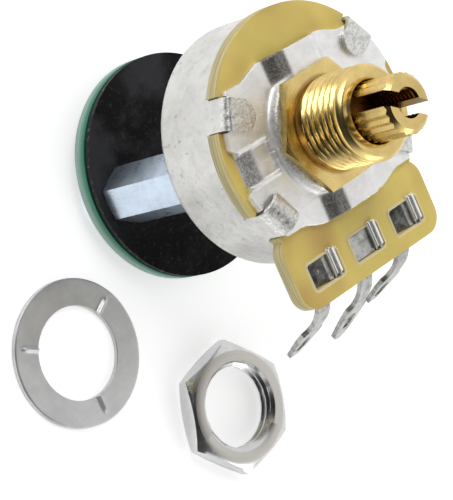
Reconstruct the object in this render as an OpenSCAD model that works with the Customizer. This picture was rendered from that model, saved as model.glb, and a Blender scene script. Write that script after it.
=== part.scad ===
// Panel potentiometer with a split serrated shaft, a tin-plated can, a phenolic
// element board with three solder lugs, and a round circuit board carried behind
// the can on two hexagonal pillars. Its mounting nut and washer lie beside it.
// Millimetres, +Z along the shaft. Z = 0 is the front of the bushing's hexagon,
// where the panel seats. The solder lugs point toward -Y.

/* [Bushing] */
// Outer diameter of the bushing thread
thread_d = 9.525; // [9:0.025:10.2]
// Length of the threaded bushing in front of the hexagon
bushing_reach = 6.15; // [5:0.05:10]
// Hexagon across flats
hex_af = 11.6; // [10.8:0.1:12]
// Hexagon thickness
hex_h = 0.8; // [0.7:0.05:1.2]

/* [Shaft] */
// Shaft diameter
shaft_d = 6; // [5.6:0.05:6.4]
// Length of the shaft in front of the bushing
shaft_reach = 4.5; // [3:0.1:12]
// Width of the split
slot_w = 1.5; // [1:0.1:2]
// Depth of the split from the shaft end
slot_depth = 7.2; // [4:0.1:8]
// Diameter of the threaded hole in the shaft end
screw_hole_d = 3; // [2:0.1:3.2]
// Depth of the hole in the shaft end
screw_hole_depth = 5.5; // [3:0.1:7]
// Number of serrations round the shaft
serrations = 24; // [18:2:36]
// Depth of one serration
serration_depth = 0.16; // [0.1:0.02:0.2]
// Direction of the split at the middle of the travel, in degrees
slot_angle = 148; // [0:1:180]
// Whole travel of the shaft, in degrees
turn_range = 300; // [260:5:300]

/* [Plate] */
// Thickness of the mounting plate
plate_t = 0.6; // [0.5:0.05:0.8]
// Width of the plate's raised middle across its straight edges
plate_w = 16.6; // [15.4:0.1:18]
// Height of the raised middle of the plate
plate_raise = 0.7; // [0.65:0.05:1.2]
// How much narrower each edge of the plate's wings is
wing_inset = 0.8; // [0.4:0.1:1.2]
// Half width of the raised band
band_half_w = 2.75; // [2:0.05:4]
// Run of the sloping step beside the band
step_run = 1.5; // [1:0.1:2]

/* [Element board] */
// Thickness of the phenolic board
board_t = 1.6; // [1.2:0.1:2]
// Distance from the can's side to the side of the terminal tail
tail_inset = 1.7; // [1.4:0.1:2]
// Distance from the shaft axis to the edge of the tail
tail_reach = 15.4; // [14.6:0.1:17]
// Corner radius of the tail
tail_corner = 2.1; // [1:0.1:2.4]
// Distance from the can's inner wall to the middle of the resistive track
track_inset = 2.8; // [2.4:0.1:3]
// Width of the resistive track
track_w = 1.8; // [1:0.1:2.2]
// Place of the collector ring, from the shaft's surface at 0 to the track at 1
collector_share = 0.45; // [0.42:0.01:0.48]
// Width of the collector ring
collector_w = 1.2; // [0.8:0.1:1.4]

/* [Terminals] */
// Distance from one terminal to the next
terminal_pitch = 6.35; // [5.8:0.05:7]
// Distance from the tail's edge to the middle of the terminal windows
window_inset = 3; // [2.8:0.1:3.3]
// Thickness of the terminal sheet
lug_t = 0.5; // [0.4:0.05:0.6]
// Width of the lug's neck
lug_neck_w = 1.8; // [1.4:0.1:2.4]
// Width of the lug at its eye
lug_eye_w = 2.9; // [2.5:0.1:3.6]
// Length of the lug past its bend
lug_length = 6.1; // [5.6:0.1:8]
// Angle of the lug's bend
lug_bend = 62; // [50:1:70]
// Width of the lug's tip
lug_tip_w = 1.4; // [1.2:0.1:1.5]
// Width of the eye in the lug
eye_w = 1.1; // [0.7:0.1:1.2]
// Length of the eye in the lug
eye_length = 2.5; // [1.6:0.1:2.8]

/* [Can] */
// Outer diameter of the can
can_d = 24.6; // [24:0.1:26]
// Thickness of the can sheet
can_t = 0.5; // [0.4:0.05:0.6]
// Depth of the can from the board's front to its back
can_depth = 9.7; // [9.4:0.1:14]
// Outside radius of the can's rear corner
can_corner = 1.2; // [0.8:0.1:2]
// Width of the folded tabs
tab_w = 3.2; // [2.6:0.1:3.6]
// Length of the folded tabs over the plate
tab_length = 3.6; // [3:0.1:4]
// Angle of the tabs from the X axis
tab_angle = 28; // [26:1:32]

/* [Rear board] */
// Across flats of the hexagonal pillars
pillar_af = 5.5; // [5:0.1:6]
// Length of the pillars
pillar_length = 11.8; // [6:0.1:20]
// Distance from the can's side to the axis of each pillar
pillar_inset = 4; // [3.8:0.1:4.6]
// Screw thread diameter in the pillars
screw_d = 3; // [2.5:0.1:3]
// How far the insulator and the circuit board stay inside the can's side
rear_inset = 0.35; // [0:0.05:0.8]
// Thickness of the insulator
insulator_t = 0.5; // [0.3:0.05:0.8]
// Thickness of the spacer washers between insulator and circuit board
spacer_t = 0.4; // [0.3:0.05:1]
// Thickness of the circuit board
circuit_t = 1.6; // [1:0.1:2]
// Height of the screw heads
head_h = 1.6; // [1.2:0.1:2]

/* [Nut and washer] */
// Mounting nut across flats
nut_af = 12.7; // [12:0.1:14.3]
// Mounting nut thickness
nut_h = 2.4; // [2:0.1:3.2]
// Washer outer diameter
washer_d = 15.5; // [14:0.1:17]
// Washer thickness
washer_t = 0.6; // [0.4:0.05:0.8]

/* [Hidden] */
$fn = 72;
eps = 0.01;

shaft_clearance = 0.05;
bore_mouth = 0.2;
thread_depth = 0.42;
thread_chamfer = 0.5;
cone_length = 1;
hex_turn = 2;

plate_front = -hex_h;
wing_front = plate_front - plate_raise;
board_front = wing_front - plate_t;
board_rear = board_front - board_t;
print_t = 0.1;
print_rear = board_rear - print_t;

can_r = can_d / 2;
can_inner_r = can_r - can_t;
can_rear = board_front - can_depth;
can_floor = can_rear + can_t;
board_overhang = 0.3;
board_r = can_r + board_overhang;
tail_w = can_d - 2 * tail_inset;
track_r = can_inner_r - track_inset;
pillar_offset = can_r - pillar_inset;
rear_r = can_r - rear_inset;
tab_bend = 0.3;
plate_r = can_r - 0.2;
plate_end = can_inner_r - 0.4;
bay_half_w = 2.7;
bay_corner = 0.6;
tab_gap = 0.15;
board_gap = 0.1;
tab_shift = 6;
rolled_place = 1;
tab_places = [180 - tab_angle, 180 + tab_angle, -tab_angle, tab_angle + tab_shift];
tail_top = can_inner_r - 4.3;
tail_neck = tail_top - 2;
track_gap_half = (360 - turn_range) / 2;
lug_gap = 0.3;

spigot_r = 4.4;
stake_r = 4.9;
stake_h = 0.15;
stake_rear = plate_front - plate_t - stake_h;
boss_top_r = hex_af / 2 + 0.1;
boss_foot_r = boss_top_r + 0.8;
channel_w = 3.1;
channel_length = plate_end - boss_foot_r - 0.4;
channel_depth = 0.3;
rim_w = 0.28;
rim_h = 0.18;

shaft_r = shaft_d / 2;
collector_r = shaft_r + collector_share * (track_r - shaft_r);
shaft_tip = bushing_reach + shaft_reach;
shaft_chamfer = 0.5;
serrated_length = shaft_reach + 0.9;
ring_t = 0.35;
ring_front = stake_rear - 0.08;
ring_r = shaft_r + 1.2;
groove_r = shaft_r - 0.5;
board_hole_r = shaft_r + 0.4;
rotor_front = board_rear - 1.4;
rotor_t = 1.8;
rotor_rear = rotor_front - rotor_t;
rotor_r = track_r - 1.4;
hub_r = shaft_r + 1.6;
drive_flat = shaft_d - 1.8;
shaft_end = rotor_rear - 1.4;

stop_mean_r = can_inner_r - 1.5;
finger_half = 14;
stop_play = 0.6;
stop_half = (360 - turn_range) / 2 - finger_half - stop_play;
finger_tip_r = can_inner_r - 0.4;

wiper_t = 0.25;
contact_gap = 0.06;
arm_w = 1.3;

lug_y = -(tail_reach - window_inset);
window_w = 4.3;
window_h = 2.6;
lug_bend_r = 4.5;
base_w = 4;
base_top = 1.9;
leg_gap = 0.08;
lug_bend_y = lug_y - window_h / 2;
lug_mid_z = print_rear - lug_t / 2;
neck_length = 0.9;
middle_reach = 0.5;
middle_lift = 5;
proud_h = 0.35;
pad_rise = 0.7;

pillar_front = can_rear;
pillar_rear = pillar_front - pillar_length;
insulator_rear = pillar_rear - insulator_t;
circuit_front = insulator_rear - spacer_t;
circuit_rear = circuit_front - circuit_t;
head_r = screw_d * 0.9;
screw_grip = 3;
rest_z = circuit_rear - head_h;
pad_r = 0.9;
joint_h = 0.7;
wire_pitch = 2.54;
wire_y = rear_r - 4.35;

nut_place = [-4.9, -26.3];
washer_place = [-19.6, -12.2];
nut_bore_r = thread_d / 2 - thread_depth;
washer_bore_r = thread_d / 2 + 0.1;

module ring(outer_r, inner_r, h) {
    difference() {
        cylinder(r = outer_r, h = h);
        translate([0, 0, -1]) cylinder(r = inner_r, h = h + 2);
    }
}

module hexagon(af, h) {
    cylinder(r = af / sqrt(3), h = h, $fn = 6);
}

module at_pillars() {
    for (side = [-1, 1])
        translate([side * pillar_offset, 0, 0]) children();
}

// A ring sector of the given half angle, centred on the given direction
module sector(outer_r, inner_r, h, middle, half) {
    rotate([0, 0, middle - half])
        rotate_extrude(angle = 2 * half)
            translate([inner_r, 0]) square([outer_r - inner_r, h]);
}

module rounded_bar(length, w, h) {
    linear_extrude(h) {
        translate([0, -w / 2]) square([length - w / 2, w]);
        translate([length - w / 2, 0]) circle(d = w);
    }
}

// Hexagon with its front corners turned off, threaded barrel and staked spigot
module bushing() color([0.85, 0.68, 0.3]) {
    barrel_r = thread_d / 2;
    difference() {
        union() {
            intersection() {
                translate([0, 0, plate_front]) rotate([0, 0, hex_turn]) hexagon(hex_af, hex_h);
                translate([0, 0, plate_front])
                    rotate_extrude()
                        polygon([[0, 0], [hex_af / sqrt(3) + 0.1, 0],
                                 [hex_af / sqrt(3) + 0.1, hex_h - 0.3],
                                 [hex_af / 2 + 0.2, hex_h], [0, hex_h]]);
            }
            rotate_extrude()
                polygon([[0, -eps], [barrel_r, -eps], [barrel_r, bushing_reach - cone_length],
                         [barrel_r - thread_chamfer, bushing_reach], [0, bushing_reach]]);
            translate([0, 0, stake_rear]) cylinder(r = spigot_r, h = plate_front - stake_rear + eps);
            translate([0, 0, stake_rear]) cylinder(r = stake_r, h = stake_h);
        }
        translate([0, 0, stake_rear - 1])
            cylinder(r = shaft_r + shaft_clearance, h = bushing_reach - stake_rear + 2);
        translate([0, 0, bushing_reach - bore_mouth])
            cylinder(r1 = shaft_r + shaft_clearance, r2 = shaft_r + shaft_clearance + 2 * bore_mouth,
                     h = 2 * bore_mouth);
    }
}

// Everything below the plate's front surface, from which the sheet is taken
module plate_form() {
    reach = can_d;
    translate([0, 0, wing_front - 4]) cylinder(r = can_r, h = 4);
    rotate([90, 0, 0])
        linear_extrude(reach, center = true)
            polygon([[-band_half_w - step_run, wing_front - eps], [-band_half_w, plate_front],
                     [band_half_w, plate_front], [band_half_w + step_run, wing_front - eps]]);
    translate([0, 0, wing_front - eps])
        cylinder(r1 = boss_foot_r, r2 = boss_top_r, h = plate_raise + eps);
}

// The plate seen from the front: narrower wings, and round it the ends with a bay
// in the middle and a notch for each of the can's tabs
module plate_outline() {
    half = plate_w / 2;
    wing = half - wing_inset;
    step_end = band_half_w + step_run;
    difference() {
        circle(r = plate_r);
        for (x = [-1, 1], y = [-1, 1])
            polygon([[-x * eps, y * half], [x * (step_end + 0.8), y * half], [x * (step_end + 2.6), y * wing],
                     [x * can_r, y * wing], [x * can_r, y * can_r], [-x * eps, y * can_r]]);
        for (side = [-1, 1]) {
            translate([side * (plate_end + can_r / 2), 0])
                square([can_r, 2 * (bay_half_w - bay_corner)], center = true);
            for (y = [-1, 1])
                translate([side * (plate_end + bay_corner), y * (bay_half_w - bay_corner)])
                    circle(r = bay_corner, $fn = 32);
            translate([side * (plate_end + bay_corner + can_r / 2), 0])
                square([can_r, 2 * bay_half_w], center = true);
        }
        tab_notches(can_inner_r - tab_bend);
    }
}

// Where the can's tabs pass the board and the plate
module tab_notches(inner_r) {
    for (place = tab_places)
        rotate([0, 0, place])
            translate([inner_r, -tab_w / 2 - tab_gap]) square([4, tab_w + 2 * tab_gap]);
}

// Stamped plate: flat wings on the board, a raised middle under the hexagon,
// and a coined channel at the left end
module mounting_plate() color([0.8, 0.81, 0.83]) {
    difference() {
        intersection() {
            difference() {
                plate_form();
                translate([0, 0, -plate_t]) plate_form();
            }
            translate([0, 0, board_front]) linear_extrude(6) plate_outline();
        }
        translate([0, 0, board_front - 1]) cylinder(r = spigot_r, h = 6);
        translate([-plate_end - 1, -channel_w / 2, wing_front - channel_depth])
            cube([channel_length + 1, channel_w, 1]);
    }
    for (side = [-1, 1])
        translate([-plate_end + 0.1, side * (channel_w + rim_w) / 2 - rim_w / 2, wing_front - eps])
            cube([channel_length - 0.4, rim_w, rim_h + eps]);
}

module board_outline() {
    difference() {
        circle(r = board_r);
        tab_notches(can_inner_r - board_gap);
    }
    for (x = [-1, 1], y = [tail_top + tail_corner, tail_reach - tail_corner])
        translate([x * (tail_w / 2 - tail_corner), -y]) circle(r = tail_corner);
    translate([-tail_w / 2, -tail_reach + tail_corner])
        square([tail_w, tail_reach - tail_top - 2 * tail_corner]);
    translate([-tail_w / 2 + tail_corner, -tail_reach])
        square([tail_w - 2 * tail_corner, tail_reach - tail_neck]);
}

module element_board() color([0.83, 0.73, 0.38]) {
    translate([0, 0, board_rear])
        linear_extrude(board_t)
            difference() {
                board_outline();
                circle(r = board_hole_r);
                for (i = [-1, 0, 1])
                    translate([i * terminal_pitch, lug_y]) square([window_w, window_h], center = true);
            }
}

// Track round the shaft, open toward the terminals
module track_shape() {
    reach = 2 * can_r;
    difference() {
        circle(r = track_r + track_w / 2);
        circle(r = track_r - track_w / 2);
        polygon([[0, 0], [-reach * sin(track_gap_half), -reach * cos(track_gap_half)],
                 [reach * sin(track_gap_half), -reach * cos(track_gap_half)]]);
    }
}

module resistive_track() color([0.12, 0.12, 0.13])
    translate([0, 0, print_rear]) linear_extrude(print_t) track_shape();

module collector_ring() color([0.8, 0.8, 0.82]) {
    translate([0, 0, print_rear])
        ring(collector_r + collector_w / 2, collector_r - collector_w / 2, print_t);
}

// Silver prints that lead from the track ends and the collector to the windows
module conductor_prints() color([0.75, 0.76, 0.78]) {
    lead_w = 1.8;
    pad_top = lug_y + base_top - 0.6;
    end_x = track_r * sin(track_gap_half);
    end_y = -track_r * cos(track_gap_half) + 0.8;
    translate([0, 0, print_rear])
        linear_extrude(print_t) {
            for (side = [-1, 1])
                difference() {
                    polygon([[side * (terminal_pitch - lead_w / 2), pad_top],
                             [side * (terminal_pitch + lead_w / 2), pad_top],
                             [side * (end_x + lead_w), end_y], [side * (end_x - lead_w / 2), end_y]]);
                    track_shape();
                }
            difference() {
                translate([-lead_w / 2, pad_top]) square([lead_w, -pad_top - collector_r]);
                circle(r = collector_r + collector_w / 2);
            }
        }
}

// One solder terminal: a base behind the board, a leg that is bent over in the
// window and one that stands a little proud, and a lug that bends back to its eye
module terminal(x, bend, reach, tip_w, pad_rise) {
    leg_h = board_front - print_rear;
    leg_y = window_h - 2 * leg_gap;
    fold_w = 0.95;
    fold_x = window_w / 2 - leg_gap - fold_w - 0.3;
    pad_left = -window_w / 2 + leg_gap;
    pad_right = fold_x - 0.12;
    low = board_front - 0.15 - pad_rise;
    high = low + pad_rise;
    bend_y = lug_bend_y - reach;
    translate([x, 0, 0]) {
        translate([-base_w / 2, lug_bend_y, print_rear - lug_t])
            cube([base_w, lug_y + base_top - lug_bend_y, lug_t]);
        translate([0, lug_y - leg_y / 2, 0]) {
            translate([0, leg_y, 0]) rotate([90, 0, 0])
                linear_extrude(leg_y)
                    polygon([[pad_left, print_rear - eps], [pad_left + lug_t, print_rear - eps],
                             [pad_left + lug_t, low - lug_t], [pad_left + 0.9, low - lug_t],
                             [pad_right - 0.5, high - lug_t], [pad_right, high - lug_t],
                             [pad_right, high], [pad_right - 0.6, high], [pad_left + 0.7, low],
                             [pad_left, low]]);
            translate([fold_x, 0, print_rear - eps]) cube([fold_w, leg_y, leg_h + proud_h - fold_w / 2]);
            translate([fold_x + fold_w / 2, 0, board_front + proud_h - fold_w / 2])
                rotate([-90, 0, 0]) cylinder(d = fold_w, h = leg_y, $fn = 32);
        }
        translate([-lug_neck_w / 2, bend_y, print_rear - lug_t])
            cube([lug_neck_w, reach + eps, lug_t]);
        translate([lug_neck_w / 2, bend_y, lug_mid_z - lug_bend_r])
            rotate([0, -90, 0])
                rotate_extrude(angle = -bend)
                    translate([lug_bend_r - lug_t / 2, 0]) square([lug_t, lug_neck_w]);
        translate([0, bend_y, lug_mid_z - lug_bend_r])
            rotate([bend, 0, 0])
                translate([0, 0, lug_bend_r - lug_t / 2])
                    linear_extrude(lug_t) lug_outline(tip_w);
    }
}

// The lug laid flat: neck, shoulders and a blade that narrows to its tip
module lug_outline(tip_w) {
    shoulder = neck_length + 0.5;
    widest = shoulder + 0.3 * (lug_length - shoulder);
    eye_centre = -(shoulder + lug_length) / 2 - 0.1;
    eye_straight = eye_length - eye_w;
    difference() {
        polygon([[-lug_neck_w / 2, eps], [-lug_neck_w / 2, -neck_length], [-lug_eye_w / 2, -shoulder],
                 [-lug_eye_w / 2, -widest], [-tip_w / 2, -lug_length],
                 [tip_w / 2, -lug_length], [lug_eye_w / 2, -widest],
                 [lug_eye_w / 2, -shoulder], [lug_neck_w / 2, -neck_length], [lug_neck_w / 2, eps]]);
        for (end = [-1, 1])
            translate([0, eye_centre + end * eye_straight / 2]) circle(d = eye_w, $fn = 32);
        translate([-eye_w / 2, eye_centre - eye_straight / 2]) square([eye_w, eye_straight]);
    }
    if (tip_w > 1.5)
        translate([0, -lug_length]) circle(d = tip_w - 0.1, $fn = 48);
}

module terminal_left() color([0.78, 0.78, 0.79]) terminal(-terminal_pitch, lug_bend, 0, lug_tip_w, pad_rise);

module terminal_middle() color([0.78, 0.78, 0.79]) terminal(0, lug_bend - middle_lift, middle_reach, lug_tip_w + 0.6, 0);

module terminal_right() color([0.78, 0.78, 0.79]) terminal(terminal_pitch, lug_bend, 0, lug_tip_w, pad_rise);

// One tab that rises from the can's edge and folds over the plate
module folded_tab() {
    fold_r = can_t + tab_bend;
    rise = wing_front - board_front + can_t;
    intersection() {
        rotate([90, 0, 0])
            linear_extrude(tab_w, center = true)
                difference() {
                    union() {
                        translate([can_inner_r, board_rear - 0.5])
                            square([can_t, board_t + 0.5 + rise - fold_r]);
                        translate([can_r - tab_length, wing_front])
                            square([tab_length - fold_r, can_t]);
                        translate([can_r - fold_r, wing_front + can_t - fold_r]) circle(r = fold_r, $fn = 48);
                    }
                    translate([can_r - fold_r, wing_front + can_t - fold_r])
                        circle(r = fold_r - can_t, $fn = 32);
                    translate([can_r - fold_r - 2, wing_front - 3]) square([2, 3]);
                    translate([can_r - fold_r - 2, wing_front - 3])
                        square([2 + fold_r - can_t, 3 + can_t - fold_r]);
                }
        translate([can_r + 1, 0, board_rear - 1])
            rotate([0, 0, 180]) rounded_bar(tab_length + 1, tab_w, 8);
    }
}

// The one tab that is rolled over instead of folded flat
module rolled_tab() {
    roll_r = 1.6;
    roll_end = 152;
    centre_z = wing_front - 0.5;
    intersection() {
        rotate([90, 0, 0])
            linear_extrude(tab_w, center = true) {
                translate([can_inner_r, board_rear - 0.5]) square([can_t, centre_z - board_rear + 0.5]);
                translate([can_r - roll_r, centre_z])
                    intersection() {
                        difference() {
                            circle(r = roll_r, $fn = 64);
                            circle(r = roll_r - can_t, $fn = 64);
                        }
                        polygon([[0, 0], [3, 0], [3, 3], [-3, 3], [3 * cos(roll_end), 3 * sin(roll_end)]]);
                    }
            }
        translate([can_r + 1, 0, board_rear - 1])
            rotate([0, 0, 180]) rounded_bar(tab_length + 1, tab_w, 8);
    }
}

// Drawn cup with a rounded rear corner, a rim that carries the board, a notch for
// the terminals, four tabs bent over the plate and an inward stop
module can() color([0.74, 0.75, 0.76]) {
    inner_corner = can_corner - can_t;
    difference() {
        union() {
            rotate_extrude() {
                translate([can_inner_r, can_rear + can_corner]) square([can_t, board_rear - can_rear - can_corner]);
                translate([0, can_rear]) square([can_r - can_corner, can_t]);
                intersection() {
                    translate([can_r - can_corner, can_rear + can_corner])
                        difference() {
                            circle(r = can_corner, $fn = 64);
                            circle(r = inner_corner, $fn = 64);
                        }
                    translate([can_r - can_corner, can_rear]) square([can_corner, can_corner]);
                }
            }
            for (i = [0 : len(tab_places) - 1])
                rotate([0, 0, tab_places[i]])
                    if (i == rolled_place) rolled_tab(); else folded_tab();
            translate([0, 0, can_floor - eps])
                sector(stop_mean_r + can_t, stop_mean_r - can_t / 2, rotor_front - can_floor - 0.2, -90, stop_half);
        }
        translate([-terminal_pitch - base_w / 2 - lug_gap, -can_r - 1, print_rear - lug_t - lug_gap])
            cube([2 * terminal_pitch + base_w + 2 * lug_gap, can_r + 1 - tail_neck, 2]);
        at_pillars() translate([0, 0, can_rear - 1]) cylinder(d = screw_d + 0.2, h = 3);
    }
}

module pan_screw(length) {
    difference() {
        union() {
            cylinder(r = head_r, h = head_h - 0.5);
            translate([0, 0, head_h - 0.5 - eps]) cylinder(r1 = head_r, r2 = head_r - 0.6, h = 0.5 + eps);
            translate([0, 0, -length]) cylinder(d = screw_d, h = length + eps);
        }
        for (turn = [0, 90])
            rotate([0, 0, turn])
                translate([-1.5, -0.3, head_h - 0.8]) cube([3, 0.6, 2]);
    }
}

module can_screws() color([0.7, 0.71, 0.72]) {
    at_pillars() translate([0, 0, can_floor]) pan_screw(screw_grip + can_t);
}

module pillar() {
    corner_r = pillar_af / sqrt(3);
    turned = 0.5;
    difference() {
        intersection() {
            translate([0, 0, pillar_rear]) rotate([0, 0, 90]) hexagon(pillar_af, pillar_length);
            translate([0, 0, pillar_rear])
                rotate_extrude()
                    polygon([[0, 0], [corner_r - turned, 0], [corner_r, turned / 2],
                             [corner_r, pillar_length - turned], [corner_r - turned, pillar_length],
                             [0, pillar_length]]);
        }
        translate([0, 0, pillar_rear - 1]) cylinder(d = screw_d, h = pillar_length + 2);
    }
}

module pillar_left() color([0.75, 0.8, 0.86]) translate([-pillar_offset, 0, 0]) pillar();

module pillar_right() color([0.75, 0.8, 0.86]) translate([pillar_offset, 0, 0]) pillar();

module rear_disc(h) {
    difference() {
        cylinder(r = rear_r, h = h);
        at_pillars() translate([0, 0, -1]) cylinder(d = screw_d + 0.2, h = h + 2);
    }
}

module insulator_disc() color([0.13, 0.13, 0.14])
    translate([0, 0, insulator_rear]) rear_disc(insulator_t);

module spacer_washers() color([0.2, 0.2, 0.2]) {
    at_pillars() translate([0, 0, circuit_front]) ring(screw_d, screw_d / 2 + 0.1, spacer_t);
}

module circuit_board() color([0.16, 0.42, 0.3]) {
    difference() {
        translate([0, 0, circuit_rear]) rear_disc(circuit_t);
        for (i = [-1, 0, 1])
            translate([i * wire_pitch, -wire_y, circuit_rear - 1]) cylinder(r = 0.4, h = circuit_t + 2, $fn = 24);
    }
}

module board_screws() color([0.7, 0.71, 0.72]) {
    at_pillars()
        translate([0, 0, circuit_rear]) rotate([180, 0, 0])
            pan_screw(circuit_t + spacer_t + insulator_t + screw_grip);
}

// Small chip resistors on the back of the circuit board
module chip_resistors() color([0.15, 0.15, 0.16]) {
    for (place = [[-2.6, 3.4], [0, 3.4], [2.6, 3.4], [-2, -2.2], [2, -2.2]])
        translate([place[0] - 0.6, place[1] - 1, circuit_rear - 0.5]) cube([1.2, 2, 0.5]);
}

// Domed solder in the three wire holes
module solder_joints() color([0.8, 0.8, 0.8]) {
    for (i = [-1, 0, 1])
        translate([i * wire_pitch, -wire_y, circuit_rear]) rotate([180, 0, 0]) {
            cylinder(r1 = pad_r, r2 = 0.45, h = joint_h);
            translate([0, 0, -circuit_t]) cylinder(r = 0.4, h = circuit_t + eps, $fn = 24);
        }
}

// Outline of the serrated zone: shallow V grooves round the shaft
module serrated_outline() {
    step = 360 / serrations;
    polygon([for (i = [0 : serrations - 1], half = [0, 1])
        (shaft_r - half * serration_depth) * [cos((i + half / 2) * step), sin((i + half / 2) * step)]]);
}

module shaft() color([0.86, 0.7, 0.32]) {
    rotate([0, 0, slot_angle])
        difference() {
            union() {
                intersection() {
                    translate([0, 0, shaft_tip - serrated_length]) linear_extrude(serrated_length) serrated_outline();
                    translate([0, 0, shaft_tip - serrated_length])
                        rotate_extrude()
                            polygon([[0, 0], [shaft_r + 0.1, 0], [shaft_r + 0.1, serrated_length - shaft_chamfer],
                                     [shaft_r - shaft_chamfer, serrated_length], [0, serrated_length]]);
                }
                translate([0, 0, ring_front - ring_t / 2])
                    cylinder(r = shaft_r, h = shaft_tip - serrated_length - ring_front + ring_t / 2 + eps);
                translate([0, 0, rotor_front]) cylinder(r = shaft_r, h = ring_front - rotor_front);
                intersection() {
                    translate([0, 0, shaft_end]) cylinder(r = shaft_r, h = rotor_front - shaft_end + eps);
                    translate([-shaft_r, -drive_flat / 2, shaft_end])
                        cube([shaft_d, drive_flat, rotor_front - shaft_end + eps]);
                }
            }
            translate([0, 0, ring_front - ring_t]) ring(shaft_r + 1, groove_r, ring_t);
            translate([-shaft_r - 1, -slot_w / 2, shaft_tip - slot_depth]) cube([shaft_d + 2, slot_w, slot_depth + 1]);
            translate([0, 0, shaft_tip - screw_hole_depth]) cylinder(d = screw_hole_d, h = screw_hole_depth + 1);
        }
}

// Open ring in the shaft's groove, behind the staked end of the bushing
module retaining_ring() color([0.55, 0.55, 0.57]) {
    translate([0, 0, ring_front - ring_t])
        difference() {
            ring(ring_r, groove_r + 0.01, ring_t);
            translate([0, -groove_r * 0.8, -1]) cube([ring_r + 1, groove_r * 1.6, ring_t + 2]);
        }
}

// Moulded carrier with a hub, a stop finger and a bore that fits the shaft's flats
module rotor() color([0.9, 0.88, 0.82]) {
    difference() {
        union() {
            translate([0, 0, rotor_rear]) cylinder(r = rotor_r, h = rotor_t);
            translate([0, 0, shaft_end + 0.3]) cylinder(r = hub_r, h = rotor_front - shaft_end - 0.3);
            translate([0, 0, rotor_rear]) sector(finger_tip_r, hub_r - 1, rotor_t, 90, finger_half);
        }
        rotate([0, 0, slot_angle])
            intersection() {
                translate([0, 0, shaft_end - 1]) cylinder(r = shaft_r, h = 8);
                translate([-shaft_r, -drive_flat / 2, shaft_end - 1]) cube([shaft_d, drive_flat, 8]);
            }
    }
}

// Spring contact on the front of the rotor: a ring seat and two arms that reach
// the track and the collector
module wiper() color([0.8, 0.66, 0.35]) {
    contact_r = 0.3;
    contact_z = print_rear - contact_gap - contact_r;
    translate([0, 0, rotor_front]) {
        difference() {
            union() {
                ring(hub_r + 0.3, shaft_r + 0.3, wiper_t);
                rotate([0, 0, 90]) translate([hub_r, -arm_w / 2, 0])
                    cube([track_r + 0.5 - hub_r, arm_w, wiper_t]);
                rotate([0, 0, -90]) translate([hub_r - 0.6, -arm_w / 2, 0])
                    cube([collector_r + 0.6 - hub_r + 0.6, arm_w, wiper_t]);
            }
        }
    }
    for (tip = [[90, track_r], [-90, collector_r]])
        rotate([0, 0, tip[0]])
            translate([tip[1], 0, rotor_front + wiper_t - eps]) {
                cylinder(r = contact_r, h = contact_z - rotor_front - wiper_t + eps, $fn = 24);
                translate([0, 0, contact_z - rotor_front - wiper_t]) sphere(r = contact_r, $fn = 24);
            }
}

// Hexagonal nut with both faces chamfered
module mounting_nut() color([0.8, 0.8, 0.82]) {
    corner_r = nut_af / sqrt(3);
    face_r = nut_af / 2 - 0.2;
    drop = 0.6;
    translate([nut_place[0], nut_place[1], rest_z])
        difference() {
            intersection() {
                rotate([0, 0, 12]) hexagon(nut_af, nut_h);
                rotate_extrude()
                    polygon([[0, 0], [face_r, 0], [corner_r + 0.1, drop], [corner_r + 0.1, nut_h - drop],
                             [face_r, nut_h], [0, nut_h]]);
            }
            translate([0, 0, -1]) cylinder(r = nut_bore_r, h = nut_h + 2);
            for (face = [0, 1])
                translate([0, 0, face * nut_h]) mirror([0, 0, face])
                    translate([0, 0, -0.1])
                        cylinder(r1 = nut_bore_r + 0.55, r2 = nut_bore_r - 0.05, h = 0.6);
        }
}

// Thin washer with three radial ribs pressed into it
module flat_washer() color([0.8, 0.8, 0.82]) {
    rib_length = washer_d / 2 - washer_bore_r - 0.5;
    translate([washer_place[0], washer_place[1], rest_z]) {
        ring(washer_d / 2, washer_bore_r, washer_t);
        for (turn = [30, 150, 270])
            rotate([0, 0, turn])
                translate([washer_bore_r + 0.25, 0, washer_t - eps])
                    intersection() {
                        rotate([0, 90, 0]) cylinder(r = 0.45, h = rib_length, $fn = 32);
                        translate([0, -1, 0]) cube([rib_length, 2, 0.3]);
                    }
    }
}

bushing();
mounting_plate();
element_board();
resistive_track();
collector_ring();
conductor_prints();
terminal_left();
terminal_middle();
terminal_right();
can();
can_screws();
pillar_left();
pillar_right();
insulator_disc();
spacer_washers();
circuit_board();
board_screws();
chip_resistors();
solder_joints();
shaft();
retaining_ring();
rotor();
wiper();
mounting_nut();
flat_washer();
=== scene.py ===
"""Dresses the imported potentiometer: threads, finishes, stage and camera."""
import math

import bmesh
import bpy
from bpy.props import FloatProperty, FloatVectorProperty, IntProperty, PointerProperty
from bpy.types import Operator, Panel, PropertyGroup
from mathutils import Matrix, Vector
from mathutils.geometry import delaunay_2d_cdt


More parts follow.
